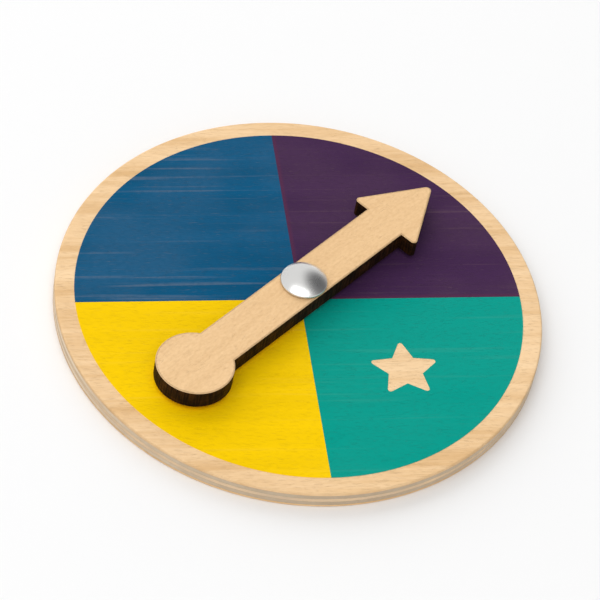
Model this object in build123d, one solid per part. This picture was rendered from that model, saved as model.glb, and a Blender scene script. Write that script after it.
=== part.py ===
"""Tabletop game spinner: a round plywood board printed in four colours, with a plywood arrow that
turns freely on a double-cap rivet through the middle.

Millimetres, +Z up. The origin is the middle of the board's underside. The lines between the four
colours lie along X and Y, and the arrow at rest points between +X and +Y.
"""

from build123d import *
import math
import os

# Plywood sheet, which the board and the arrow are both cut from: five veneers, their grain crossing.
OUTER_PLY = 0.9
CROSS_PLY = 1.15
CENTRE_PLY = 1.1

# Board: rounded at its outer corners.
BOARD_DIAMETER = 125.0
BOARD_EDGE_ROUND = 0.5

# Print: one film of ink to each quarter, with a bare wooden rim round it.
RIM_WIDTH = 5.0
INK_THICKNESS = 0.08
STAR_POINTS = 5
STAR_OUTER_RADIUS = 9.6
STAR_INNER_RADIUS = 4.6
STAR_POINT_ROUND = 0.7
STAR_INSET = 24.1  # from the print's edge to the star's middle
STAR_BEARING = -45.0  # degrees from +X, the middle of the teal quarter

# Arrow: a straight shaft with a pointed head and a round tail.
ARROW_REST_ANGLE = 40.3  # degrees from +X
TIP_MARGIN = 8.0  # from the arrow's tip to the print's edge
TAIL_MARGIN = 7.4  # from the arrow's tail to the print's edge
SHAFT_WIDTH = 11.7
TAIL_RADIUS = 9.9
HEAD_WIDTH = 21.8  # across the two barbs, before they are rounded
HEAD_HALF_ANGLE = 29.4
BARB_ROUND = 1.0
TIP_ROUND = 1.2
ARROW_EDGE_BREAK = 0.15

# Washer: a loose nylon ring that holds the arrow clear of the board.
WASHER_DIAMETER = 10.0
WASHER_THICKNESS = 1.4
WASHER_EDGE_ROUND = 0.25

# Rivet: a post in the front cap is pressed into a sleeve in the back cap.
SLEEVE_DIAMETER = 4.0
SLEEVE_WALL = 0.45
POST_LENGTH = 7.5
FLANGE_THICKNESS = 0.35
CAP_SHEET = 0.3
CAP_LIP = 1.2
FRONT_CAP_DIAMETER = 12.0
FRONT_CAP_HEIGHT = 2.9
BACK_CAP_DIAMETER = 11.0
BACK_CAP_HEIGHT = 1.5

# Clearances.
BOARD_BORE_CLEARANCE = 0.05  # radial, sleeve to board
RUNNING_CLEARANCE = 0.08  # radial, sleeve to arrow and to washer
SEAT_GAP = 0.05  # axial, between faces that turn on each other
ARROW_PLAY = 0.15  # axial, arrow to front cap
RECESS_CLEARANCE = 0.5  # radial, back cap to the recess in the board
RECESS_STAND_OFF = 0.2  # the back cap's top lies this far inside the recess
RIVET_GAP = 0.02  # between the rivet's own pressed pieces

# Derived heights and radii.
SHEET_PLIES = {
    "back_ply": OUTER_PLY,
    "lower_cross_ply": CROSS_PLY,
    "centre_ply": CENTRE_PLY,
    "upper_cross_ply": CROSS_PLY,
    "face_ply": OUTER_PLY,
}
SHEET_THICKNESS = sum(SHEET_PLIES.values())
BOARD_RADIUS = BOARD_DIAMETER / 2
BOARD_TOP = SHEET_THICKNESS
PRINT_RADIUS = BOARD_RADIUS - RIM_WIDTH
PRINT_TOP = BOARD_TOP + INK_THICKNESS
WASHER_BASE = PRINT_TOP + SEAT_GAP
WASHER_TOP = WASHER_BASE + WASHER_THICKNESS
ARROW_BASE = WASHER_TOP + SEAT_GAP
ARROW_TOP = ARROW_BASE + SHEET_THICKNESS
FRONT_CAP_BASE = ARROW_TOP + ARROW_PLAY
SLEEVE_RADIUS = SLEEVE_DIAMETER / 2
SOCKET_RADIUS = SLEEVE_RADIUS - SLEEVE_WALL
BEAD_RADIUS = FLANGE_THICKNESS / 2 + RIVET_GAP + CAP_SHEET  # the rim a cap has rolled round its flange
BOARD_BORE_RADIUS = SLEEVE_RADIUS + BOARD_BORE_CLEARANCE
RUNNING_BORE_RADIUS = SLEEVE_RADIUS + RUNNING_CLEARANCE
RECESS_RADIUS = BACK_CAP_DIAMETER / 2 + RECESS_CLEARANCE
RECESS_DEPTH = BACK_CAP_HEIGHT + RECESS_STAND_OFF


def cylinder(radius, bottom, top):
    """A solid cylinder on the Z axis between two heights."""
    return Pos(0, 0, bottom) * extrude(Circle(radius), top - bottom)


def laminate(piece, outline, bottom):
    """One solid to each veneer of the sheet, all cut to one outline and stacked up from a height."""
    plies = {}
    for ply, thickness in SHEET_PLIES.items():
        plies[f"{piece}_{ply}"] = Pos(0, 0, bottom) * extrude(outline, thickness)
        bottom += thickness
    return plies


def outer_edges(ply, height):
    """The edges of a veneer's outline at a height, without those of its bore."""
    level = [e for e in ply.edges() if all(abs(v.Z - height) < 1e-6 for v in e.vertices())]
    return [e for e in level if max(Vector(v.X, v.Y).length for v in e.vertices()) > 2 * SLEEVE_DIAMETER]


def board():
    """The board's veneers, with the rivet's bore through them and the recess for its back cap."""
    plies = laminate("board", Circle(BOARD_RADIUS), 0.0)
    corner = min(BOARD_EDGE_ROUND, 0.8 * OUTER_PLY)
    for name, height in {"board_back_ply": 0.0, "board_face_ply": BOARD_TOP}.items():
        plies[name] = fillet(outer_edges(plies[name], height), corner)
    bore = cylinder(BOARD_BORE_RADIUS, 0.0, BOARD_TOP)
    recess = cylinder(RECESS_RADIUS, 0.0, RECESS_DEPTH)
    return {name: ply - bore - recess for name, ply in plies.items()}


def star():
    """The bare star in the teal quarter, as a flat outline."""
    step = math.pi / STAR_POINTS
    corners = []
    for i in range(2 * STAR_POINTS):
        radius = STAR_INNER_RADIUS if i % 2 else STAR_OUTER_RADIUS
        angle = math.pi / 2 + i * step
        corners.append((radius * math.cos(angle), radius * math.sin(angle)))
    outline = Polygon(*corners, align=None)
    points = [v for v in outline.vertices() if v.center().length > STAR_INNER_RADIUS + 1e-6]
    outline = fillet(points, STAR_POINT_ROUND)
    bearing = math.radians(STAR_BEARING)
    distance = PRINT_RADIUS - STAR_INSET
    return Pos(distance * math.cos(bearing), distance * math.sin(bearing)) * outline


def print_films():
    """The four quarters of ink, each bored for the rivet, with the star left bare in the teal one."""
    quarters = {
        "print_purple": (1, 1),
        "print_blue": (-1, 1),
        "print_yellow": (-1, -1),
        "print_teal": (1, -1),
    }
    disc = Circle(PRINT_RADIUS) - Circle(BOARD_BORE_RADIUS)
    half = PRINT_RADIUS / 2 + RIM_WIDTH
    films = {}
    for name, (x_side, y_side) in quarters.items():
        quarter = disc & Pos(x_side * half, y_side * half) * Rectangle(2 * half, 2 * half)
        if name == "print_teal":
            quarter -= star()
        films[name] = Pos(0, 0, BOARD_TOP) * extrude(quarter, INK_THICKNESS)
    return films


def arrow_outline():
    """The arrow seen from above, pointing along +X, with its bore at the origin."""
    tip_end = PRINT_RADIUS - TIP_MARGIN
    half_angle = math.radians(HEAD_HALF_ANGLE)
    apex = tip_end + TIP_ROUND * (1 / math.sin(half_angle) - 1)
    head_base = apex - HEAD_WIDTH / 2 / math.tan(half_angle)
    head = Polygon((head_base, -HEAD_WIDTH / 2), (apex, 0), (head_base, HEAD_WIDTH / 2), align=None)
    tail_centre = TAIL_MARGIN + TAIL_RADIUS - PRINT_RADIUS
    shaft_length = head_base - tail_centre
    shaft = Pos(tail_centre + shaft_length / 2, 0) * Rectangle(shaft_length, SHAFT_WIDTH)
    outline = head + shaft + Pos(tail_centre, 0) * Circle(TAIL_RADIUS)
    barbs = [v for v in outline.vertices() if abs(abs(v.Y) - HEAD_WIDTH / 2) < 1e-6]
    outline = fillet(barbs, BARB_ROUND)
    tip = max(outline.vertices(), key=lambda v: v.X)
    return fillet([tip], TIP_ROUND) - Circle(RUNNING_BORE_RADIUS)


def arrow():
    """The arrow's veneers, turned to where it rests, with the sharp edges taken off."""
    plies = laminate("arrow", Rot(0, 0, ARROW_REST_ANGLE) * arrow_outline(), ARROW_BASE)
    for name, height in {"arrow_back_ply": ARROW_BASE, "arrow_face_ply": ARROW_TOP}.items():
        plies[name] = chamfer(outer_edges(plies[name], height), ARROW_EDGE_BREAK)
    return plies


def washer():
    """The washer, rounded at its outer corners."""
    ring = cylinder(WASHER_DIAMETER / 2, WASHER_BASE, WASHER_TOP)
    ring = fillet(ring.edges().filter_by(GeomType.CIRCLE), min(WASHER_EDGE_ROUND, 0.4 * WASHER_THICKNESS))
    return ring - cylinder(RUNNING_BORE_RADIUS, WASHER_BASE, WASHER_TOP)


def turned_from(corners_and_arcs):
    """A solid of revolution about Z from a closed profile of lines and arcs in the XZ plane."""
    profile = make_face([curve.edge() for curve in corners_and_arcs])
    return revolve(Plane.XZ * profile, Axis.Z)


def arc_about(centre, radius, start, end):
    """An arc in the profile plane; its angles are from the axis of the rivet, in radians."""

    def at(angle):
        return (centre[0] + radius * math.sin(angle), centre[1] + radius * math.cos(angle))

    return ThreePointArc(at(start), at((start + end) / 2), at(end))


def flange_radius(cap_diameter):
    """The radius of the flange inside a cap, which reaches the middle of the cap's rolled rim."""
    return cap_diameter / 2 - BEAD_RADIUS


def cap(diameter, height):
    """A pressed cap: a dome that runs into a rolled rim, whose lip turns in under a flange."""
    seat_radius = flange_radius(diameter)
    lean = 2 * math.atan((height - 2 * BEAD_RADIUS) / seat_radius)
    dome_radius = BEAD_RADIUS + seat_radius / math.sin(lean)
    dome_centre = (0.0, height - dome_radius)
    bead_centre = (seat_radius, BEAD_RADIUS)
    inner_bead = BEAD_RADIUS - CAP_SHEET
    inner_dome = dome_radius - CAP_SHEET
    lip_end = seat_radius - CAP_LIP
    profile = [
        arc_about(dome_centre, dome_radius, 0.0, lean),
        arc_about(bead_centre, BEAD_RADIUS, lean, math.pi),
        Line((seat_radius, 0), (lip_end, 0)),
        Line((lip_end, 0), (lip_end, CAP_SHEET)),
        Line((lip_end, CAP_SHEET), (seat_radius, CAP_SHEET)),
        arc_about(bead_centre, inner_bead, math.pi, lean),
        arc_about(dome_centre, inner_dome, lean, 0.0),
        Line((0, height - CAP_SHEET), (0, height)),
    ]
    return turned_from(profile)


def rivet():
    """The four pressed pieces: each cap, and the flanged post or sleeve that it is rolled over."""
    front_flange_base = FRONT_CAP_BASE + CAP_SHEET + RIVET_GAP
    post_radius = SOCKET_RADIUS - RIVET_GAP
    post = cylinder(post_radius, front_flange_base - POST_LENGTH, front_flange_base)
    post = fillet(post.edges().group_by(Axis.Z)[0], 0.5 * post_radius)
    front_flange_top = front_flange_base + FLANGE_THICKNESS
    post += cylinder(flange_radius(FRONT_CAP_DIAMETER), front_flange_base, front_flange_top)

    back_flange_top = RECESS_DEPTH - CAP_SHEET - RIVET_GAP
    back_flange_base = back_flange_top - FLANGE_THICKNESS
    sleeve = cylinder(flange_radius(BACK_CAP_DIAMETER), back_flange_base, back_flange_top)
    sleeve += cylinder(SLEEVE_RADIUS, back_flange_top, front_flange_base - RIVET_GAP)
    sleeve -= cylinder(SOCKET_RADIUS, back_flange_top, front_flange_base)

    front_cap = Pos(0, 0, FRONT_CAP_BASE) * cap(FRONT_CAP_DIAMETER, FRONT_CAP_HEIGHT)
    back_cap = cap(BACK_CAP_DIAMETER, BACK_CAP_HEIGHT)
    back_cap = Pos(0, 0, RECESS_DEPTH) * Rot(180, 0, 0) * back_cap
    return {
        "rivet_front_cap": front_cap,
        "rivet_post": post,
        "rivet_sleeve": sleeve,
        "rivet_back_cap": back_cap,
    }


def main():
    os.makedirs("parts", exist_ok=True)
    nodes = {**board(), **print_films(), "washer": washer(), **arrow(), **rivet()}
    for name, solid in nodes.items():
        export_step(solid, f"parts/{name}.step")


main()
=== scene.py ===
"""Game spinner: a printed plywood board with a laser-cut arrow that turns on a domed rivet.

Every piece is made here at its real size, in metres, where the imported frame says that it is.
"""

import math
import random
from typing import NamedTuple

import bmesh
import bpy
from mathutils import Matrix, Vector
from mathutils.geometry import delaunay_2d_cdt
from mathutils.kdtree import KDTree


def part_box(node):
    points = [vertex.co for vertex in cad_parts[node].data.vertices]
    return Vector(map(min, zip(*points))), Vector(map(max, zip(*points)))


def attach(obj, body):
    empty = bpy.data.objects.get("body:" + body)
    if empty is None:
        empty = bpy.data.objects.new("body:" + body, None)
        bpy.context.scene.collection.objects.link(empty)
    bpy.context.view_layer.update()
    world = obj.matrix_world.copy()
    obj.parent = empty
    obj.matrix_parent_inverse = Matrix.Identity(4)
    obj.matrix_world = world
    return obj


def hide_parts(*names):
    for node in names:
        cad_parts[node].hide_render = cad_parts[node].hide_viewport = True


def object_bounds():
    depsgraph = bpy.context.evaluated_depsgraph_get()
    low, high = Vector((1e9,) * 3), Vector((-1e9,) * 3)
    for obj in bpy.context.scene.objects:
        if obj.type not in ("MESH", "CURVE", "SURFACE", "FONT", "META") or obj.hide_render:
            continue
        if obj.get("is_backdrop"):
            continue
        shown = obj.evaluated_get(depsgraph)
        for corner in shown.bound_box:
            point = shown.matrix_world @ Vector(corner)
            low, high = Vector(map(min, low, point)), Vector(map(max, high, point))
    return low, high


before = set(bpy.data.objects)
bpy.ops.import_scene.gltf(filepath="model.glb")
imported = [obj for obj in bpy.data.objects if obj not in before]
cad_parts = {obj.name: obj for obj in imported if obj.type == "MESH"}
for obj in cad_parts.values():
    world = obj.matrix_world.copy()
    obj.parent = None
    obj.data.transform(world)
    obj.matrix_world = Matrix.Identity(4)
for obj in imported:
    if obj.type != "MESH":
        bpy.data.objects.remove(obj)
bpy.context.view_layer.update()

bl_info = {
    "name": "Game Spinner",
    "version": (1, 0, 0),
    "blender": (4, 5, 0),
    "location": "View3D > Sidebar > Spinner",
    "description": "Makes a plywood game spinner with a printed face and a riveted arrow",
    "category": "Add Mesh",
}

MM = 0.001
TINY = 1e-7
SHEET_PLIES = ("back_ply", "lower_cross_ply", "centre_ply", "upper_cross_ply", "face_ply")
QUARTERS = {"purple": 0, "blue": 90, "yellow": 180, "teal": 270}  # degrees to its first side
COVER = {"purple": 0.75, "blue": 1.0, "yellow": 0.35, "teal": 0.18}  # how much grain an ink shows
INSIDE_BORDER = 1  # the kind of triangulation that stops at the outer border
EDGE = "edge"  # the point attribute that holds how near a point is to a worn or burnt edge, or how far under the rivet's rim, where shade is painted

# How fine each part of the grain is: grains in a metre along it, and twice across it
DRIFT = (14.0, 55.0, 55.0)
BANDS = (9.0, 165.0, 165.0)
STREAKS = (15.0, 720.0, 720.0)
FIBRES = (280.0, 5200.0, 5200.0)
PORES = (520.0, 7800.0, 7800.0)
GRAIN_SWAY = (0.0, 0.0016, 0.0016)  # how far the drift bends the grain, in metres

# How finely the pieces are divided
BOARD_STEPS = 480  # steps in a full turn
WASHER_STEPS = 96
CAP_STEPS = 160
CORNER_STEPS = 8
DOME_STEPS = 40
INNER_DOME_STEPS = 24
BEAD_STEPS = 24
QUARTER_STEPS = 180  # along the print's outer quarter circle
QUARTER_BORE_STEPS = 12
TAIL_STEPS = 140
PRINT_SPACING = 0.6 * MM  # between the points of an outline
STAR_SPACING = 0.3 * MM
ARROW_SPACING = 0.35 * MM
PRINT_GRID = 2.5 * MM  # between the points inside a flat face
ARROW_GRID = 2.0 * MM
FACE_RINGS = (0.97, 0.92, 0.8, 0.65, 0.5, 0.35, 0.2)  # shares of the board's radius


# Properties


def size(name, description, millimetres):
    """A length that a user may change."""
    return bpy.props.FloatProperty(
        name=name,
        description=description,
        default=millimetres * MM,
        min=0.0,
        unit="LENGTH",
        precision=5,
    )


def angle(name, description, degrees):
    """An angle that a user may change."""
    return bpy.props.FloatProperty(
        name=name, description=description, default=math.radians(degrees), subtype="ANGLE"
    )


def share(name, description, value):
    """A share from 0 to 1 that a user may change."""
    return bpy.props.FloatProperty(
        name=name, description=description, default=value, min=0.0, max=1.0, subtype="FACTOR"
    )


def power(name, description, watts):
    """A light's power that a user may change."""
    return bpy.props.FloatProperty(
        name=name, description=description, default=watts, min=0.0, subtype="POWER", unit="POWER"
    )


def tint(name, description, red, green, blue):
    """A colour that a user may change."""
    return bpy.props.FloatVectorProperty(
        name=name,
        description=description,
        default=(red, green, blue),
        min=0.0,
        max=1.0,
        subtype="COLOR",
    )


class BoardSettings(bpy.types.PropertyGroup):
    face_light: tint("Face wood, light", "The face veneer's pale early wood", 0.925, 0.655, 0.380)
    face_dark: tint("Face wood, dark", "The face veneer's darker late wood", 0.72, 0.448, 0.207)
    cross_light: tint("Cross wood, light", "The pale wood of the inner veneers", 0.76, 0.62, 0.455)
    cross_dark: tint("Cross wood, dark", "The darker wood of the inner veneers", 0.64, 0.485, 0.33)
    glue: tint("Glue line", "The colour of the glue between two veneers", 0.40, 0.28, 0.17)
    corner: size("Corner round", "Radius of the board's outer corners", 0.5)
    groove: size("Glue line depth", "How far each glue line lies inside the wall", 0.03)
    groove_width: size("Glue line width", "Height of the worn edge of each veneer", 0.07)
    unevenness: size("Wall unevenness", "How much sanding has left the wall wavy", 0.025)


class PrintSettings(bpy.types.PropertyGroup):
    blue: tint("Blue", "Ink of the blue quarter", 0.0020, 0.092, 0.207)
    purple: tint("Purple", "Ink of the purple quarter", 0.0565, 0.0212, 0.0735)
    yellow: tint("Yellow", "Ink of the yellow quarter", 0.94, 0.60, 0.0)
    teal: tint("Teal", "Ink of the teal quarter", 0.0, 0.315, 0.252)
    overprint: tint("Overprint", "The reddish line where two inks meet", 0.098, 0.026, 0.066)
    overprint_width: size("Overprint width", "Width of the reddish line", 1.4)
    wear: share("Grain through the ink", "How clearly the wood's grain shows in the ink", 0.55)
    film_edge: size("Film edge", "How far the film's edge slopes", 0.03)
    star_outer: size("Star, outer radius", "Radius of the circle through the star's points", 9.6)
    star_inner: size("Star, inner radius", "Radius of the circle through the star's notches", 4.6)
    star_round: size("Star point round", "Radius of the star's points", 0.7)
    star_inset: size("Star inset", "From the print's edge to the star's middle", 24.1)


class WasherSettings(bpy.types.PropertyGroup):
    nylon: tint("Nylon", "The washer's colour", 0.72, 0.69, 0.62)
    corner: size("Corner round", "Radius of the washer's outer corners", 0.25)


class ArrowSettings(bpy.types.PropertyGroup):
    wood_light: tint("Wood, light", "The arrow's pale early wood", 0.860, 0.580, 0.307)
    wood_dark: tint("Wood, dark", "The arrow's darker late wood", 0.735, 0.467, 0.230)
    burnt: tint("Burnt wall", "The wall that the laser has charred", 0.0100, 0.0036, 0.0012)
    scorched: tint("Scorched wall", "The wall's browner, less burnt stripes", 0.046, 0.0155, 0.0034)
    rest_angle: angle("Rest angle", "From +X to where the arrow points at rest", 40.3)
    shaft_width: size("Shaft width", "Width of the straight shaft", 11.7)
    head_width: size("Head width", "Across the two barbs, before they are rounded", 21.8)
    head_angle: angle("Head half angle", "Between the arrow's line and each side of its head", 29.4)
    tail_radius: size("Tail radius", "Radius of the round tail", 9.9)
    barb_round: size("Barb round", "Radius of the barbs", 1.0)
    tip_round: size("Tip round", "Radius of the tip", 1.2)
    edge_break: size("Edge break", "Width of the bevel on the arrow's sharp edges", 0.15)
    toast_width: size("Toasted width", "How far the laser's heat browned the face", 0.45)
    kerf_ripple: size("Kerf ripple", "Depth of the upright lines that the laser left", 0.02)


class RivetSettings(bpy.types.PropertyGroup):
    nickel: tint("Nickel", "The plating's colour", 0.82, 0.815, 0.80)
    sheet: size("Cap sheet", "Thickness of the caps' metal", 0.3)
    flange: size("Flange", "Thickness of the flange inside each cap", 0.35)
    press_gap: size("Press gap", "Between the rivet's own pressed pieces", 0.02)
    lip: size("Lip", "How far each cap's lip turns in under the flange", 1.2)


class StageSettings(bpy.types.PropertyGroup):
    floor: tint("Floor", "The floor's colour", 0.90, 0.90, 0.90)
    key_power: power("Overhead light", "Power of the soft box over the spinner", 4.2)
    back_power: power("Back light", "Power of the low soft box behind the spinner", 11.0)
    sky: share("Fill light", "Brightness of the light from all round", 0.82)
    lens: bpy.props.FloatProperty(
        name="Lens",
        description="Focal length of the camera in millimetres",
        default=208.0,
        min=20.0,
    )


# Shader trees


class Tree:
    """Places and joins the nodes of one shader tree."""

    def __init__(self, tree):
        self.tree = tree

    def feed(self, socket, value):
        """Joins an output to a socket, or sets the socket to a plain value."""
        if isinstance(value, bpy.types.NodeSocket):
            self.tree.links.new(value, socket)
        else:
            socket.default_value = value

    def add(self, kind, inputs=None, **settings):
        """A new node with its settings and inputs."""
        node = self.tree.nodes.new(kind)
        for name, value in settings.items():
            setattr(node, name, value)
        for name, value in (inputs or {}).items():
            self.feed(node.inputs[name], value)
        return node

    def math(self, operation, *values):
        """A sum on one, two or three values."""
        node = self.add("ShaderNodeMath", operation=operation)
        for socket, value in zip(node.inputs, values):
            self.feed(socket, value)
        return node.outputs[0]

    def total(self, *parts):
        """The sum of several values, each times its weight."""
        result = 0.0
        for value, weight in parts:
            result = self.math("MULTIPLY_ADD", value, weight, result)
        return result

    def blend(self, factor, first, second, mode="MIX"):
        """One colour over another."""
        node = self.add("ShaderNodeMix", data_type="RGBA", blend_type=mode)
        colours = [s for s in node.inputs if s.type == "RGBA"]
        self.feed(node.inputs["Factor"], factor)
        for socket, value in zip(colours, (first, second)):
            self.feed(socket, value if isinstance(value, bpy.types.NodeSocket) else (*value, 1.0))
        return next(s for s in node.outputs if s.type == "RGBA")

    def ease(self, value, low, high, start=0.0, end=1.0):
        """A smooth step from start to end as a value goes from low to high."""
        inputs = {"Value": value, "From Min": low, "From Max": high, "To Min": start, "To Max": end}
        step = self.add("ShaderNodeMapRange", inputs, interpolation_type="SMOOTHSTEP")
        return step.outputs["Result"]

    def stretch(self, vector, scale, turn=0.0):
        """Coordinates turned about Z and then scaled along each axis."""
        inputs = {"Vector": vector, "Angle": turn}
        rotated = self.add("ShaderNodeVectorRotate", inputs, rotation_type="Z_AXIS")
        inputs = {0: rotated.outputs[0], 1: scale}
        return self.add("ShaderNodeVectorMath", inputs, operation="MULTIPLY").outputs[0]

    def noise(self, vector, detail=2.0, roughness=0.5):
        """Soft noise whose grains are one unit of the coordinates across."""
        inputs = {"Vector": vector, "Scale": 1.0, "Detail": detail, "Roughness": roughness}
        return self.add("ShaderNodeTexNoise", inputs).outputs["Fac"]

    def place(self, group, inputs):
        """A shared effect, with this material's own values."""
        node = self.add("ShaderNodeGroup", node_tree=group)
        for name, value in inputs.items():
            self.feed(node.inputs[name], value)
        return node.outputs


def new_effect(name, inputs, outputs):
    """An empty shared effect: its tree, its inputs and the node that its outputs go to."""
    group = bpy.data.node_groups.new(name, "ShaderNodeTree")
    for label, kind in inputs.items():
        group.interface.new_socket(name=label, in_out="INPUT", socket_type="NodeSocket" + kind)
    for label, kind in outputs.items():
        group.interface.new_socket(name=label, in_out="OUTPUT", socket_type="NodeSocket" + kind)
    tree = Tree(group)
    return tree, tree.add("NodeGroupInput").outputs, tree.add("NodeGroupOutput").inputs


def shared(build):
    """Builds a shared effect once, and gives it back to every material that asks again."""

    def effect():
        name = build.__name__
        if name not in bpy.data.node_groups:
            build(name)
        return bpy.data.node_groups[name]

    return effect


@shared
def wood_grain(name):
    """Grain that runs along the turned X axis: bands, streaks, fibres and open pores, as masks."""
    inputs = {"Coordinates": "Vector", "Turn": "Float"}
    outputs = dict.fromkeys(("Bands", "Streaks", "Fibres", "Pores", "Height"), "Float")
    tree, given, result = new_effect(name, inputs, outputs)
    place, turn = given["Coordinates"], given["Turn"]
    drift = tree.noise(tree.stretch(place, DRIFT, turn), detail=1.0)
    sway = tree.add("ShaderNodeCombineXYZ", {"Y": drift, "Z": drift}).outputs[0]
    inputs = {0: sway, 1: GRAIN_SWAY, 2: place}
    bent = tree.add("ShaderNodeVectorMath", inputs, operation="MULTIPLY_ADD").outputs[0]
    bands = tree.noise(tree.stretch(bent, BANDS, turn), detail=3.0)
    streaks = tree.noise(tree.stretch(bent, STREAKS, turn), detail=4.0, roughness=0.55)
    fibres = tree.noise(tree.stretch(bent, FIBRES, turn), detail=2.0)
    dashes = tree.noise(tree.stretch(bent, PORES, turn), detail=0.0)
    pores = tree.ease(dashes, 0.66, 0.78)
    tree.feed(result["Bands"], bands)
    tree.feed(result["Streaks"], streaks)
    tree.feed(result["Fibres"], fibres)
    tree.feed(result["Pores"], pores)
    tree.feed(result["Height"], tree.total((streaks, 0.4), (fibres, 0.6), (pores, -0.8)))


@shared
def broken_edge(name):
    """The edge attribute with a broken border, for glue lines, scorching and the painted shade
    under the rivet's rim.
    """
    inputs = {"Coordinates": "Vector", "Scale": "Float", "Amount": "Float"}
    tree, given, result = new_effect(name, inputs, {"Mask": "Float"})
    near = tree.add("ShaderNodeAttribute", attribute_name=EDGE).outputs["Fac"]
    inputs = {"Vector": given["Coordinates"], "Scale": given["Scale"]}
    grains = tree.add("ShaderNodeTexNoise", inputs)
    loosened = tree.total((near, 1.0), (grains.outputs["Fac"], 0.9))
    mask = tree.math("MULTIPLY", tree.ease(loosened, 0.55, 1.35), given["Amount"])
    tree.feed(result["Mask"], mask)


@shared
def handling_marks(name):
    """Faint smears and fine specks left by fingers and dust, as a mask."""
    outputs = {"Smears": "Float", "Specks": "Float"}
    tree, given, result = new_effect(name, {"Coordinates": "Vector"}, outputs)
    place = given["Coordinates"]
    smears = tree.noise(tree.stretch(place, (95.0, 60.0, 95.0), 0.6), detail=4.0, roughness=0.62)
    specks = tree.noise(tree.stretch(place, (1900.0, 1900.0, 1900.0)), detail=1.0)
    tree.feed(result["Smears"], tree.ease(smears, 0.35, 0.70))
    tree.feed(result["Specks"], tree.ease(specks, 0.70, 0.80))


def new_material(name, roughness, specular):
    """A material with one Principled shader, its tree and its place coordinates."""
    material = bpy.data.materials.new(name)
    material.use_nodes = True
    material.node_tree.nodes.clear()
    tree = Tree(material.node_tree)
    inputs = {"Roughness": roughness, "Specular IOR Level": specular}
    shader = tree.add("ShaderNodeBsdfPrincipled", inputs)
    tree.add("ShaderNodeOutputMaterial", {"Surface": shader.outputs[0]})
    place = tree.add("ShaderNodeTexCoord").outputs
    return material, tree, shader.inputs, place


def emboss(tree, shader, height, depth):
    """Gives a shader relief from a height mask, as deep as a depth in metres."""
    bump = tree.add("ShaderNodeBump", {"Height": height, "Distance": depth, "Strength": 1.0})
    tree.feed(shader["Normal"], bump.outputs["Normal"])


def end_grain(tree, place, turn):
    """How squarely the surface cuts across the fibres, from 0 on a face to 1 on a sawn end."""
    facing = tree.stretch(place["Normal"], (1.0, 1.0, 1.0), turn)
    along = tree.add("ShaderNodeSeparateXYZ", {"Vector": facing}).outputs["X"]
    return tree.math("POWER", tree.math("ABSOLUTE", along), 2.0)


def shaded(colour, part):
    """A colour made darker, to a part of itself."""
    return [part * c for c in colour]


def towards(colour, other, part):
    """A colour moved part of the way to another."""
    return [c + (o - c) * part for c, o in zip(colour, other)]


def veneer(name, light, dark, glue, turn, roughness=0.58):
    """Sanded wood whose grain runs at an angle to X, with dark glue lines at its marked edges."""
    material, tree, shader, place = new_material(name, roughness, 0.32)
    grain = tree.place(wood_grain(), {"Coordinates": place["Object"], "Turn": -turn})
    tone = tree.total((grain["Bands"], 0.52), (grain["Streaks"], 0.30), (grain["Fibres"], 0.18))
    wood = tree.blend(tree.ease(tone, 0.33, 0.67), dark, light)
    wood = tree.blend(tree.math("MULTIPLY", grain["Pores"], 0.30), wood, dark)
    ends = tree.math("MULTIPLY", end_grain(tree, place, -turn), 0.55)
    wood = tree.blend(ends, wood, shaded(dark, 0.62))
    edge = {"Coordinates": place["Object"], "Scale": 900.0, "Amount": 0.75}
    wood = tree.blend(tree.place(broken_edge(), edge)["Mask"], wood, glue)
    tree.feed(shader["Base Color"], wood)
    tree.feed(shader["Roughness"], tree.ease(tone, 0.2, 0.8, roughness + 0.10, roughness - 0.08))
    emboss(tree, shader, grain["Height"], 0.00006)
    return material


def ink(name, colour, wood, wear, overprint=None, overprint_width=0.0):
    """Matt ink on the grain: thin along the open streaks and a little uneven all over."""
    material, tree, shader, place = new_material(name, 0.6, 0.04)
    grain = tree.place(wood_grain(), {"Coordinates": place["Object"], "Turn": 0.0})
    marks = tree.place(handling_marks(), {"Coordinates": place["Object"]})
    deep = shaded(colour, 1.0 - 0.3 * wear)
    film = tree.blend(tree.ease(grain["Bands"], 0.34, 0.66), deep, colour)
    # wide patches where the ink has faded a little
    drift = tree.noise(tree.stretch(place["Object"], (22.0, 30.0, 30.0)), detail=3.0)
    faded = tree.math("MULTIPLY", tree.ease(drift, 0.42, 0.62), wear)
    film = tree.blend(faded, film, towards(colour, wood, 0.03))
    # long streaks where the wood has drunk it
    starved = tree.math("MULTIPLY", tree.ease(grain["Streaks"], 0.56, 0.74), wear)
    film = tree.blend(starved, film, towards(colour, wood, 0.13))
    # pores that it hasn't reached
    open_pores = tree.math("MULTIPLY", grain["Pores"], grain["Fibres"])
    bare = tree.math("MULTIPLY", open_pores, wear * 0.35)
    film = tree.blend(bare, film, towards(colour, wood, 0.34))
    # fine mottling, about 1.5 mm across
    fine = tree.stretch(place["Object"], (620.0, 760.0, 760.0))
    mottle = tree.ease(tree.noise(fine, detail=2.0, roughness=0.6), 0.40, 0.66)
    film = tree.blend(tree.math("MULTIPLY", mottle, 0.5 * wear), film, deep)
    if overprint is not None:
        axes = tree.add("ShaderNodeSeparateXYZ", {"Vector": place["Object"]}).outputs
        inside = tree.math("MINIMUM", axes["X"], axes["Y"])
        fringe = tree.ease(inside, 0.2 * overprint_width, overprint_width, 0.7, 0.0)
        film = tree.blend(fringe, film, overprint)
    tree.feed(shader["Base Color"], film)
    dullness = tree.total((marks["Smears"], 0.08), (grain["Streaks"], 0.16), (1.0, 0.44))
    tree.feed(shader["Roughness"], dullness)
    emboss(tree, shader, grain["Height"], 0.00005)
    return material


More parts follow.
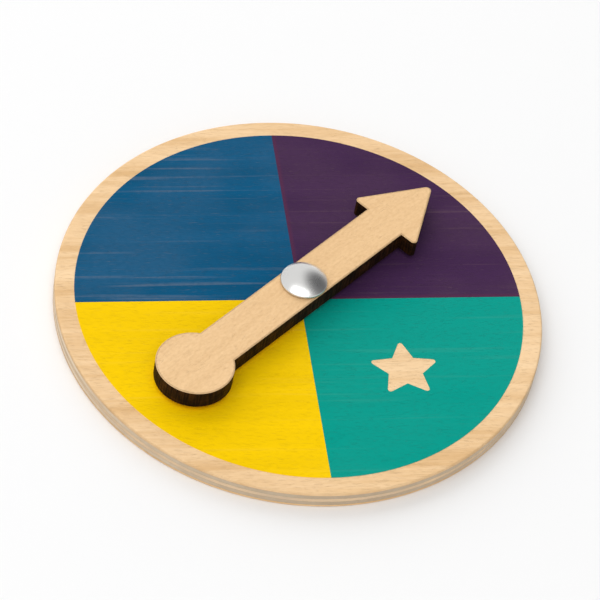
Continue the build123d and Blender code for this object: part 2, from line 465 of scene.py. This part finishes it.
def burnt_wall(name, burnt, scorched):
    """A laser-cut wall: char with browner upright stripes and a dry, uneven surface."""
    material, tree, shader, place = new_material(name, 0.8, 0.08)
    upright = tree.stretch(place["Object"], (2600.0, 2600.0, 150.0))
    lines = tree.noise(upright, detail=2.0, roughness=0.6)
    patches = tree.noise(tree.stretch(place["Object"], (210.0, 210.0, 420.0)), detail=3.0)
    edge = {"Coordinates": place["Object"], "Scale": 1400.0, "Amount": 0.6}
    seams = tree.place(broken_edge(), edge)["Mask"]
    brown = tree.ease(tree.total((lines, 0.55), (patches, 0.45)), 0.42, 0.66)
    char = tree.blend(brown, burnt, scorched)
    char = tree.blend(seams, char, shaded(burnt, 0.5))
    tree.feed(shader["Base Color"], char)
    tree.feed(shader["Roughness"], tree.ease(lines, 0.3, 0.7, 0.82, 0.52))
    emboss(tree, shader, tree.total((lines, 1.0), (patches, 0.4)), 0.00008)
    return material


def toasted_veneer(name, light, dark, burnt, turn):
    """The arrow's face: sanded veneer that the laser's heat has browned along its outline."""
    material, tree, shader, place = new_material(name, 0.55, 0.30)
    grain = tree.place(wood_grain(), {"Coordinates": place["Object"], "Turn": -turn})
    fine = tree.stretch(place["Object"], (900.0, 1500.0, 1500.0), -turn)
    mottle = tree.noise(fine, detail=3.0)
    tone = tree.total((grain["Bands"], 0.36), (grain["Streaks"], 0.24), (mottle, 0.40))
    wood = tree.blend(tree.ease(tone, 0.31, 0.69), dark, light)
    wood = tree.blend(tree.math("MULTIPLY", grain["Pores"], 0.16), wood, dark)
    edge = {"Coordinates": place["Object"], "Scale": 1500.0, "Amount": 0.55}
    toast = tree.place(broken_edge(), edge)["Mask"]
    wood = tree.blend(toast, wood, [0.45 * d + 2.0 * b for d, b in zip(dark, burnt)])
    tree.feed(shader["Base Color"], wood)
    tree.feed(shader["Roughness"], tree.ease(tone, 0.2, 0.8, 0.64, 0.50))
    emboss(tree, shader, grain["Height"], 0.00005)
    return material


def nickel_plate(name, colour):
    """Bright plated steel with fine buffing lines, faint smears and painted shade under its rolled
    rim.
    """
    material, tree, shader, place = new_material(name, 0.18, 0.5)
    tree.feed(shader["Metallic"], 1.0)
    marks = tree.place(handling_marks(), {"Coordinates": place["Object"]})
    buffing = tree.noise(tree.stretch(place["Object"], (9000.0, 420.0, 9000.0), 0.5), detail=2.0)
    edge = {"Coordinates": place["Object"], "Scale": 1100.0, "Amount": 0.5}
    # painted shade: the rolled rim's underside and the turned-in lip are darkened as if shadowed
    # where the cap meets the wood
    rim_shade = tree.place(broken_edge(), edge)["Mask"]
    smeared = tree.math("MULTIPLY", marks["Smears"], 0.35)
    dulled = tree.blend(smeared, colour, shaded(colour, 0.80))
    tree.feed(shader["Base Color"], tree.blend(rim_shade, dulled, shaded(colour, 0.22)))
    gloss = tree.total((marks["Smears"], 0.07), (buffing, 0.06), (rim_shade, 0.30), (1.0, 0.22))
    tree.feed(shader["Roughness"], gloss)
    emboss(tree, shader, buffing, 0.000004)
    return material


def natural_nylon(name, colour):
    """Milky nylon with a faint moulded texture."""
    material, tree, shader, place = new_material(name, 0.42, 0.4)
    marks = tree.place(handling_marks(), {"Coordinates": place["Object"]})
    cloud = tree.noise(tree.stretch(place["Object"], (380.0, 380.0, 380.0)), detail=3.0)
    milky = tree.blend(tree.ease(cloud, 0.35, 0.65), shaded(colour, 0.88), colour)
    tree.feed(shader["Base Color"], milky)
    tree.feed(shader["Roughness"], tree.total((marks["Smears"], 0.12), (1.0, 0.36)))
    emboss(tree, shader, tree.math("ADD", cloud, marks["Specks"]), 0.00003)
    return material


def plain_floor(name, colour):
    """A pale matt floor with the slightest unevenness of tone."""
    material, tree, shader, place = new_material(name, 0.85, 0.1)
    cloud = tree.noise(tree.stretch(place["Object"], (3.0, 3.0, 3.0)), detail=2.0)
    tree.feed(shader["Base Color"], tree.blend(cloud, shaded(colour, 0.985), colour))
    return material


# Meshes


class Corner(NamedTuple):
    """One point of a turned profile."""

    radius: float
    height: float
    edge: float = 0.0  # how worn or burnt the point is, or on the rivet how far under the rim, where shade is painted
    ripple: float = 0.0  # how far the radius wanders round the turn


def wander(turn, height):
    """A smooth wave from -1 to 1 that closes on itself after one turn."""
    phase = height / MM
    wave = math.sin(5 * turn + 1.1 * phase) + 0.7 * math.sin(13 * turn - 2.3 * phase)
    wave += 0.5 * math.sin(37 * turn + 3.7 * phase) + 0.4 * math.sin(91 * turn + 5.1 * phase)
    return wave / 2.6


def new_piece(name, points, faces, edges, sharp=30.0):
    """An object from points and faces, smooth but for its sharp corners, with its edge values."""
    mesh = bpy.data.meshes.new(name)
    mesh.from_pydata(points, [], faces)
    mesh.attributes.new(EDGE, "FLOAT", "POINT").data.foreach_set("value", edges)
    work = bmesh.new()
    work.from_mesh(mesh)
    bmesh.ops.recalc_face_normals(work, faces=work.faces)
    work.to_mesh(mesh)
    work.free()
    mesh.shade_smooth()
    mesh.set_sharp_from_angle(angle=math.radians(sharp))
    piece = bpy.data.objects.new(name, mesh)
    bpy.context.scene.collection.objects.link(piece)
    return piece


def lathe(name, profile, steps, sharp=30.0):
    """A solid turned about the rivet's axis.

    Its profile closes on itself, or starts and ends on the axis.
    """
    points, edges, rings = [], [], []
    for corner in profile:
        first = len(points)
        if corner.radius < TINY:
            points.append((0.0, 0.0, corner.height))
            rings.append([first] * steps)
        else:
            for i in range(steps):
                turn = 2 * math.pi * i / steps
                radius = corner.radius + corner.ripple * wander(turn, corner.height)
                points.append((radius * math.cos(turn), radius * math.sin(turn), corner.height))
            rings.append(list(range(first, first + steps)))
        edges += [corner.edge] * (len(points) - first)
    on_axis = profile[0].radius < TINY
    faces = []
    for k in range(len(rings) - 1 if on_axis else len(rings)):
        low, high = rings[k], rings[(k + 1) % len(rings)]
        for i in range(steps):
            j = (i + 1) % steps
            faces.append(list(dict.fromkeys((low[i], low[j], high[j], high[i]))))
    return new_piece(name, points, faces, edges, sharp)


def arc(centre, radius, start, end, steps):
    """Points on an arc, with its angles from +X in radians."""
    x, y = centre
    angles = [start + (end - start) * i / steps for i in range(steps + 1)]
    return [Vector((x + radius * math.cos(a), y + radius * math.sin(a))) for a in angles]


def rounded(corners):
    """A closed outline from (x, y, radius) corners, each rounded by its own radius."""
    outline = []
    for i, (x, y, radius) in enumerate(corners):
        corner = Vector((x, y))
        back = (Vector(corners[i - 1][:2]) - corner).normalized()
        ahead = (Vector(corners[(i + 1) % len(corners)][:2]) - corner).normalized()
        if radius < TINY:
            outline.append(corner)
            continue
        half = math.acos(max(-1.0, min(1.0, back.dot(ahead)))) / 2
        centre = corner + (back + ahead).normalized() * radius / math.sin(half)
        start = corner + back * radius / math.tan(half) - centre
        end = corner + ahead * radius / math.tan(half) - centre
        sweep = math.atan2(start.x * end.y - start.y * end.x, start.dot(end))
        first = math.atan2(start.y, start.x)
        outline += arc(centre, radius, first, first + sweep, CORNER_STEPS)
    return outline


def resample(outline, spacing):
    """The same closed outline with its long runs cut into even steps."""
    points = []
    for i, start in enumerate(outline):
        end = outline[(i + 1) % len(outline)]
        count = max(1, round((end - start).length / spacing))
        points += [start.lerp(end, k / count) for k in range(count)]
    return points


def inset(outline, distance):
    """A closed outline moved to its left, which is where its material is."""
    moved = []
    for i, point in enumerate(outline):
        before = (point - outline[i - 1]).normalized()
        after = (outline[(i + 1) % len(outline)] - point).normalized()
        left = Vector((-before.y, before.x))
        middle = (left + Vector((-after.y, after.x))).normalized()
        moved.append(point + middle * distance / max(0.4, middle.dot(left)))
    return moved


def encloses(outline, point):
    """Whether a point lies inside a closed outline."""
    crossings = 0
    for i, start in enumerate(outline):
        end = outline[(i + 1) % len(outline)]
        if (start.y > point.y) != (end.y > point.y):
            part = (point.y - start.y) / (end.y - start.y)
            crossings += point.x < start.x + (end.x - start.x) * part
    return crossings % 2 == 1


def reach(outline):
    """The middle of an outline and the radius of the circle that holds it."""
    middle = sum(outline, Vector((0.0, 0.0))) / len(outline)
    return middle, max((p - middle).length for p in outline)


def fill(outlines, spacing):
    """Even triangles inside the first outline and outside the rest: new points, then faces."""
    points = [p for outline in outlines for p in outline]
    borders, first = [], 0
    for outline in outlines:
        count = len(outline)
        borders += [(first + i, first + (i + 1) % count) for i in range(count)]
        first += count
    tree = KDTree(len(points))
    for i, p in enumerate(points):
        tree.insert((p.x, p.y, 0.0), i)
    tree.balance()
    low_x, high_x = min(p.x for p in points), max(p.x for p in points)
    low_y, high_y = min(p.y for p in points), max(p.y for p in points)
    row_height = spacing * math.sqrt(3) / 2
    inner = []
    for row in range(int((high_y - low_y) / row_height) + 1):
        y = low_y + row * row_height
        for column in range(int((high_x - low_x) / spacing) + 1):
            x = low_x + (column + 0.5 * (row % 2)) * spacing
            if tree.find((x, y, 0.0))[2] > 0.6 * spacing:
                inner.append(Vector((x, y)))
    places, _, triangles, *_ = delaunay_2d_cdt(points + inner, borders, [], INSIDE_BORDER, TINY)
    holes = [(hole, *reach(hole)) for hole in outlines[1:]]
    kept = []
    for triangle in triangles:
        centre = sum((places[i] for i in triangle), Vector((0.0, 0.0))) / 3
        if not any((centre - m).length < r and encloses(hole, centre) for hole, m, r in holes):
            kept.append(triangle)
    used = sorted({i for face in kept for i in face} - set(range(len(points))))
    renumber = {i: i for i in range(len(points))}
    renumber.update({i: len(points) + k for k, i in enumerate(used)})
    return [places[i] for i in used], [[renumber[i] for i in face] for face in kept]


class Level(NamedTuple):
    """One height of a flat piece's wall or cap."""

    height: float
    inset: float
    edge: float = 0.0


def slab(name, outlines, levels, spacing):
    """A flat closed solid: its outline and holes at each level, from the bottom to the top cap."""
    points, edges, faces, starts = [], [], [], []
    for level in levels:
        starts.append(len(points))
        for outline in outlines:
            moved = inset(outline, level.inset) if level.inset else outline
            points += [(p.x, p.y, level.height) for p in moved]
            edges += [level.edge] * len(moved)
    for low, high in zip(starts, starts[1:]):
        for outline in outlines:
            count = len(outline)
            for i in range(count):
                j = (i + 1) % count
                faces.append((low + i, low + j, high + j, high + i))
            low += count
            high += count
    for level, start in ((levels[0], starts[0]), (levels[-1], starts[-1])):
        moved = [inset(outline, level.inset) if level.inset else outline for outline in outlines]
        inner, triangles = fill(moved, spacing)
        border = sum(len(outline) for outline in outlines)
        extra = len(points) - border
        points += [(p.x, p.y, level.height) for p in inner]
        edges += [0.0] * len(inner)
        for triangle in triangles:
            faces.append([start + i if i < border else extra + i for i in triangle])
    return new_piece(name, points, faces, edges)


def side_faces(piece, material, lean):
    """Gives a second material to the faces that stand more upright than a lean."""
    piece.data.materials.append(material)
    for face in piece.data.polygons:
        if abs(face.normal.z) < lean:
            face.material_index = 1


def heights(node):
    """A node's lowest and highest point."""
    low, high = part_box(node)
    return low.z, high.z


def bore_corners(node, mouth=8 * MM):
    """The (radius, height) corners of a node's hole on the rivet's axis, bottom first."""
    found = set()
    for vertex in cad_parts[node].data.vertices:
        radius = math.hypot(vertex.co.x, vertex.co.y)
        if radius < mouth:
            found.add((round(radius, 5), round(vertex.co.z, 5)))
    return sorted(found, key=lambda corner: (corner[1], -corner[0]))


def bore_radius(node):
    """The radius of a node's hole on the rivet's axis."""
    return min(bore_corners(node))[0]


def bore_circle(radius, steps=64):
    """A hole's outline, clockwise, so that the material is on its left."""
    return arc((0.0, 0.0), radius, 2 * math.pi, 0.0, steps)[:-1]


def turned(outline, turn):
    """An outline turned about the rivet's axis."""
    rotation = Matrix.Rotation(turn, 2)
    return [rotation @ p for p in outline]


def dress(piece, body, slot, material, *nodes):
    """Finishes a piece: its material, its body and the nodes that it stands for. Its slot is not
    used.
    """
    if not piece.data.polygons:
        raise RuntimeError(f"{piece.name} came out empty")
    piece.data.materials.clear()
    piece.data.materials.append(material)
    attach(piece, body)
    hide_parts(*nodes)
    return piece


# Board


def board_wall(low, high, radius, settings, inner):
    """The wall of one veneer: uneven, and worn back to a groove at its glue lines."""
    groove = radius - settings.groove
    sunk = radius - (0.6 * settings.groove if inner else 0.0)
    width = settings.groove_width
    ripple = settings.unevenness * (1.0 if inner else 0.4)
    wall = [Corner(groove, low, 1.0), Corner(sunk, low + width, 0.15, 0.5 * ripple)]
    for share_up in (0.3, 0.5, 0.7):
        wall.append(Corner(sunk, low + (high - low) * share_up, 0.0, ripple))
    return wall + [Corner(sunk, high - width, 0.15, 0.5 * ripple), Corner(groove, high, 1.0)]


def face_corner(level, side, radius, round_over):
    """The rounded outer corner of a turned piece, from its wall to its flat face."""
    corner = []
    for i in range(CORNER_STEPS + 1):
        lean = math.pi / 2 * i / CORNER_STEPS
        inward, down = round_over * (1 - math.cos(lean)), round_over * (1 - math.sin(lean))
        corner.append(Corner(radius - inward, level - side * down))
    return corner


def board_profile(node, settings):
    """The closed profile of one of the board's veneers."""
    low, high = heights(node)
    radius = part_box("board_centre_ply")[1].x
    wall = board_wall(low, high, radius, settings, "cross" in node or "centre" in node)
    if node == "board_face_ply":
        wall = wall[:3] + face_corner(high, 1, radius, settings.corner)
    if node == "board_back_ply":
        wall = list(reversed(face_corner(low, -1, radius, settings.corner))) + wall[-3:]
    bore = bore_corners(node)
    flat = [radius * part for part in FACE_RINGS]
    under = [Corner(r, low) for r in reversed(flat)]
    over = [Corner(r, high) for r in flat]
    hole = [Corner(r, z) for r, z in reversed(bore)]
    return under + wall + over + hole


class SPINNER_OT_board(bpy.types.Operator):
    """Make the board's five veneers, with their glue lines and crossing grain"""

    bl_idname = "spinner.board"
    bl_label = "Board"

    def execute(self, context):
        settings = context.scene.spinner_board
        light, dark, glue = settings.face_light, settings.face_dark, settings.glue
        cross_light, cross_dark = settings.cross_light, settings.cross_dark
        faces = veneer("board_face_wood", light, dark, glue, 0.0)
        cross = veneer("board_cross_wood", cross_light, cross_dark, glue, math.pi / 2, 0.66)
        centre = veneer("board_centre_wood", light, cross_dark, glue, 0.0, 0.66)
        woods = {"back_ply": faces, "centre_ply": centre, "face_ply": faces}
        for ply in SHEET_PLIES:
            node = "board_" + ply
            slot = "board_face_wood" if ply in ("back_ply", "face_ply") else "board_edge_wood"
            piece = lathe(node + "_veneer", board_profile(node, settings), BOARD_STEPS)
            dress(piece, "board", slot, woods.get(ply, cross), node)
        return {"FINISHED"}


# Print


def star_outline(settings, print_radius):
    """The bare star, clockwise, upright and in the middle of the teal quarter."""
    point, notch = (settings.star_outer, settings.star_round), (settings.star_inner, 0.0)
    corners = []
    for i in range(10):
        radius, corner_round = notch if i % 2 else point
        turn = math.pi / 2 - i * math.pi / 5
        corners.append((radius * math.cos(turn), radius * math.sin(turn), corner_round))
    across = (print_radius - settings.star_inset) / math.sqrt(2)
    middle = Vector((across, -across))
    return [p + middle for p in rounded(corners)]


def quarter_outline(bore, radius):
    """One quarter of the print, between +X and +Y."""
    outer = arc((0.0, 0.0), radius, 0.0, math.pi / 2, QUARTER_STEPS)
    inner = arc((0.0, 0.0), bore, math.pi / 2, 0.0, QUARTER_BORE_STEPS)
    return outer + inner


class SPINNER_OT_print(bpy.types.Operator):
    """Make the four printed quarters of the board's face"""

    bl_idname = "spinner.print"
    bl_label = "Print"

    def execute(self, context):
        settings = context.scene.spinner_print
        wood = context.scene.spinner_board.face_light
        low, high = heights("print_purple")
        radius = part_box("print_purple")[1].x
        bore = bore_radius("board_face_ply")
        slope = min(settings.film_edge, 0.4 * (high - low))
        levels = [Level(low, 0.0), Level(high - slope, 0.0), Level(high, slope)]
        for name, turn in QUARTERS.items():
            quarter = turned(quarter_outline(bore, radius), math.radians(turn))
            outlines = [resample(quarter, PRINT_SPACING)]
            if name == "teal":
                outlines.append(resample(star_outline(settings, radius), STAR_SPACING))
            fringe = settings.overprint if name == "purple" else None
            wear, width = settings.wear * COVER[name], settings.overprint_width
            film = ink("ink_" + name, getattr(settings, name), wood, wear, fringe, width)
            piece = slab("print_" + name + "_ink", outlines, levels, PRINT_GRID)
            dress(piece, "board", "ink_" + name, film, "print_" + name)
        return {"FINISHED"}


# Washer


class SPINNER_OT_washer(bpy.types.Operator):
    """Make the loose washer under the arrow"""

    bl_idname = "spinner.washer"
    bl_label = "Washer"

    def execute(self, context):
        settings = context.scene.spinner_washer
        low, high = heights("washer")
        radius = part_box("washer")[1].x
        bore = bore_radius("washer")
        over = face_corner(high, 1, radius, settings.corner)
        under = list(reversed(face_corner(low, -1, radius, settings.corner)))
        profile = [Corner(bore, low), *under, *over, Corner(bore, high)]
        piece = lathe("nylon_washer", profile, WASHER_STEPS)
        nylon = natural_nylon("natural_nylon", settings.nylon)
        dress(piece, "washer", "washer_nylon", nylon, "washer")
        return {"FINISHED"}


# Arrow

# How upright a face's normal may be before the face is no longer part of the burnt wall
BARE_BEVEL = 0.5
BURNT_BEVEL = 0.9
SEAM = 0.02 * MM  # depth of the groove between two of the arrow's veneers


def arrow_outline(settings):
    """The arrow seen from above at rest, from the frame's own reach."""
    direction = Vector((math.cos(settings.rest_angle), math.sin(settings.rest_angle)))
    along = [v.co.xy.dot(direction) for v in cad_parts["arrow_centre_ply"].data.vertices]
    half_shaft, half_head = settings.shaft_width / 2, settings.head_width / 2
    lean = settings.head_angle
    apex = max(along) + settings.tip_round * (1 / math.sin(lean) - 1)
    head_base = apex - half_head / math.tan(lean)
    tail_middle = min(along) + settings.tail_radius
    meeting = math.asin(half_shaft / settings.tail_radius)
    head = [
        (head_base, -half_shaft, 0.0),
        (head_base, -half_head, settings.barb_round),
        (apex, 0.0, settings.tip_round),
        (head_base, half_head, settings.barb_round),
        (head_base, half_shaft, 0.0),
    ]
    tail_join = tail_middle + settings.tail_radius * math.cos(meeting)
    outline = rounded([*head, (tail_join, half_shaft, 0.0), (tail_join, -half_shaft, 0.0)])
    last = 2 * math.pi - meeting
    tail = arc((tail_middle, 0.0), settings.tail_radius, meeting, last, TAIL_STEPS)
    return turned(outline[:-2] + tail, settings.rest_angle)


def rippled(outline, depth):
    """An outline with the fine upright lines that a laser leaves."""
    chance = random.Random(7)
    moved = inset(outline, 1.0 * MM)
    shift = [depth / MM * chance.random() for _ in outline]
    return [p.lerp(q, s) for p, q, s in zip(outline, moved, shift)]


class SPINNER_OT_arrow(bpy.types.Operator):
    """Make the arrow's five veneers, with burnt walls and a toasted outline"""

    bl_idname = "spinner.arrow"
    bl_label = "Arrow"

    def execute(self, context):
        settings = context.scene.spinner_arrow
        turn = settings.rest_angle
        burnt = burnt_wall("laser_burnt_wall", settings.burnt, settings.scorched)
        face = toasted_veneer(
            "arrow_face_wood", settings.wood_light, settings.wood_dark, settings.burnt, turn
        )
        bore = bore_radius("arrow_face_ply")
        outline = resample(arrow_outline(settings), ARROW_SPACING)
        outline = rippled(outline, settings.kerf_ripple)
        outlines = [outline, bore_circle(bore)]
        bevel, toast = settings.edge_break, settings.toast_width
        for ply in SHEET_PLIES:
            node = "arrow_" + ply
            low, high = heights(node)
            levels = [
                Level(low, SEAM, 1.0),
                Level(low + 3 * SEAM, 0.0),
                Level((low + high) / 2, 0.0),
                Level(high - 3 * SEAM, 0.0),
                Level(high, SEAM, 1.0),
            ]
            top = [Level(high - bevel, 0.0), Level(high, bevel, 1.0), Level(high, bevel + toast)]
            bottom = [Level(low, bevel + toast), Level(low, bevel, 1.0), Level(low + bevel, 0.0)]
            if ply == "face_ply":
                levels = levels[:3] + top
            if ply == "back_ply":
                levels = bottom + levels[2:]
            piece = slab(node + "_veneer", outlines, levels, ARROW_GRID)
            dress(piece, "arrow", "arrow_wood", face, node)
            side_faces(piece, burnt, BURNT_BEVEL if ply == "back_ply" else BARE_BEVEL)
        return {"FINISHED"}


# Rivet


def cap_profile(diameter, height, settings, base, up):
    """A pressed cap: a dome that runs into a rolled rim, whose lip turns in under the flange."""
    bead = settings.flange / 2 + settings.press_gap + settings.sheet
    seat = diameter / 2 - bead
    lean = 2 * math.atan((height - 2 * bead) / seat)
    dome = bead + seat / math.sin(lean)

    def sweep(centre, radius, start, end, steps, first_mark, last_mark):
        """An arc's corners. Its angles are measured from the cap's top."""
        points = []
        for i in range(steps + 1):
            part = i / steps
            turn = start + (end - start) * part
            mark = first_mark + (last_mark - first_mark) * part
            out = max(0.0, centre[0] + radius * math.sin(turn))
            points.append(Corner(out, base + up * (centre[1] + radius * math.cos(turn)), mark))
        return points

    lip, sheet = seat - settings.lip, settings.sheet
    top, rim = (0.0, height - dome), (seat, bead)
    outside = sweep(top, dome, 0.0, lean, DOME_STEPS, 0.0, 0.0)
    # the marks rise to 1 round the rim's underside, where the plate gets painted shade
    outside += sweep(rim, bead, lean, math.pi, BEAD_STEPS, 0.0, 1.0)[1:]
    turned_in = [Corner(lip, base, 1.0), Corner(lip, base + up * sheet, 1.0)]
    inside = sweep(rim, bead - sheet, math.pi, lean, BEAD_STEPS // 2, 1.0, 1.0)
    inside += sweep(top, dome - sheet, lean, 0.0, INNER_DOME_STEPS, 0.0, 0.0)[1:]
    return outside + turned_in + inside


class SPINNER_OT_rivet(bpy.types.Operator):
    """Make the rivet's two domed caps and plate its post and sleeve"""

    bl_idname = "spinner.rivet"
    bl_label = "Rivet"

    def execute(self, context):
        settings = context.scene.spinner_rivet
        plate = nickel_plate("nickel_plate", settings.nickel)
        for node, up in (("rivet_front_cap", 1), ("rivet_back_cap", -1)):
            low, high = heights(node)
            diameter = 2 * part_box(node)[1].x
            base = low if up > 0 else high
            profile = cap_profile(diameter, high - low, settings, base, up)
            piece = lathe(node + "_pressing", profile, CAP_STEPS, sharp=50.0)
            dress(piece, "board", "rivet_metal", plate, node)
        for node in ("rivet_post", "rivet_sleeve"):
            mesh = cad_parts[node].data
            mesh.materials.clear()
            mesh.materials.append(plate)
        return {"FINISHED"}


# Stage

CAMERA_AT = Vector((-0.16481, -0.56594, 0.6599))  # from the middle of the board's underside
LEVEL_AIM = Vector((0.010677, 0.695118, -0.7188))  # the camera's line before it turns
CAMERA_ROLL = math.radians(0.22)
DARK_SIDE = (0.761, 0.204, 0.616)  # towards the darker side of the room
DARK_FROM, DARK_TO = 0.58, 0.98  # how squarely a direction faces that side as it darkens
ROOM_WHITE, ROOM_DARK = (1.0, 1.0, 1.0), (0.16, 0.16, 0.165)
FLOOR_REACH = 1.45  # metres from the spinner to each side of the floor


class SoftBox(NamedTuple):
    """Where a soft box stands, in degrees and metres from the spinner, and its size in metres."""

    azimuth: float
    elevation: float
    distance: float
    width: float
    height: float


OVERHEAD = SoftBox(azimuth=-118, elevation=64, distance=1.2, width=1.2, height=0.6)
BEHIND = SoftBox(azimuth=100, elevation=36, distance=1.3, width=2.5, height=1.4)


def aim_camera(lens):
    """A long-lens camera that turns from its own line to the spinner by the shortest way."""
    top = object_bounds()[1].z
    data = bpy.data.cameras.new("camera")
    data.lens = lens
    camera = bpy.data.objects.new("camera", data)
    bpy.context.scene.collection.objects.link(camera)
    right = LEVEL_AIM.cross(Vector((0.0, 0.0, 1.0))).normalized()
    rest = Matrix((right, right.cross(LEVEL_AIM), -LEVEL_AIM)).transposed()
    line = Vector((0.0, 0.0, top / 3)) - CAMERA_AT
    swing = LEVEL_AIM.rotation_difference(line).to_matrix()
    turned_view = swing @ rest @ Matrix.Rotation(CAMERA_ROLL, 3, "Z")
    camera.matrix_world = Matrix.Translation(CAMERA_AT) @ turned_view.to_4x4()
    bpy.context.scene.camera = camera


def soft_light(name, box, watts):
    """A soft box that points at the spinner."""
    data = bpy.data.lights.new(name, "AREA")
    data.shape = "RECTANGLE"
    data.size = box.width
    data.size_y = box.height
    data.energy = watts
    light = bpy.data.objects.new(name, data)
    flat = box.distance * math.cos(math.radians(box.elevation))
    up = box.distance * math.sin(math.radians(box.elevation))
    bearing = math.radians(box.azimuth)
    light.location = (flat * math.cos(bearing), flat * math.sin(bearing), up)
    light.rotation_euler = (-light.location).to_track_quat("-Z", "Y").to_euler()
    bpy.context.scene.collection.objects.link(light)
    return light


def studio_sky(strength):
    """Plain light from all round, but for one darker side of the room."""
    world = bpy.data.worlds.new("studio")
    world.use_nodes = True
    world.node_tree.nodes.clear()
    tree = Tree(world.node_tree)
    outward = tree.add("ShaderNodeTexCoord").outputs["Generated"]
    facing = tree.add("ShaderNodeVectorMath", {0: outward, 1: DARK_SIDE}, operation="DOT_PRODUCT")
    darkening = tree.ease(facing.outputs["Value"], DARK_FROM, DARK_TO)
    shade = tree.blend(darkening, ROOM_WHITE, ROOM_DARK)
    sky = tree.add("ShaderNodeBackground", {"Color": shade, "Strength": strength})
    tree.add("ShaderNodeOutputWorld", {"Surface": sky.outputs[0]})
    bpy.context.scene.world = world


class SPINNER_OT_stage(bpy.types.Operator):
    """Set up the pale floor, the soft lights and the camera"""

    bl_idname = "spinner.stage"
    bl_label = "Stage"

    def execute(self, context):
        settings = context.scene.spinner_stage
        sides = ((-1, -1), (1, -1), (1, 1), (-1, 1))
        corners = [(FLOOR_REACH * x, FLOOR_REACH * y, 0.0) for x, y in sides]
        floor = new_piece("floor", corners, [(0, 1, 2, 3)], [0.0] * 4)
        floor.data.materials.append(plain_floor("pale_floor", settings.floor))
        floor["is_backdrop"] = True
        soft_light("overhead", OVERHEAD, settings.key_power)
        behind = soft_light("behind", BEHIND, settings.back_power)
        behind.visible_glossy = False  # so that the rivet mirrors the grey room and one soft box
        studio_sky(settings.sky)
        aim_camera(settings.lens)
        context.scene.view_settings.view_transform = "Standard"
        return {"FINISHED"}


# Add-on


class SPINNER_PT_panel(bpy.types.Panel):
    """Makes the spinner's pieces and holds their sizes and colours"""

    bl_idname = "SPINNER_PT_panel"
    bl_label = "Game Spinner"
    bl_space_type = "VIEW_3D"
    bl_region_type = "UI"
    bl_category = "Spinner"

    def draw(self, context):
        for part, group in SETTINGS.items():
            box = self.layout.box()
            box.operator("spinner." + part)
            settings = getattr(context.scene, "spinner_" + part)
            for name in group.__annotations__:
                box.prop(settings, name)


SETTINGS = {
    "board": BoardSettings,
    "print": PrintSettings,
    "washer": WasherSettings,
    "arrow": ArrowSettings,
    "rivet": RivetSettings,
    "stage": StageSettings,
}
CLASSES = (
    *SETTINGS.values(),
    SPINNER_OT_board,
    SPINNER_OT_print,
    SPINNER_OT_washer,
    SPINNER_OT_arrow,
    SPINNER_OT_rivet,
    SPINNER_OT_stage,
    SPINNER_PT_panel,
)


def register():
    for kind in CLASSES:
        bpy.utils.register_class(kind)
    for part, group in SETTINGS.items():
        setattr(bpy.types.Scene, "spinner_" + part, bpy.props.PointerProperty(type=group))


def unregister():
    for part in SETTINGS:
        delattr(bpy.types.Scene, "spinner_" + part)
    for kind in reversed(CLASSES):
        bpy.utils.unregister_class(kind)


def main():
    register()
    for part in SETTINGS:
        getattr(bpy.ops.spinner, part)()


if __name__ == "__main__":
    main()
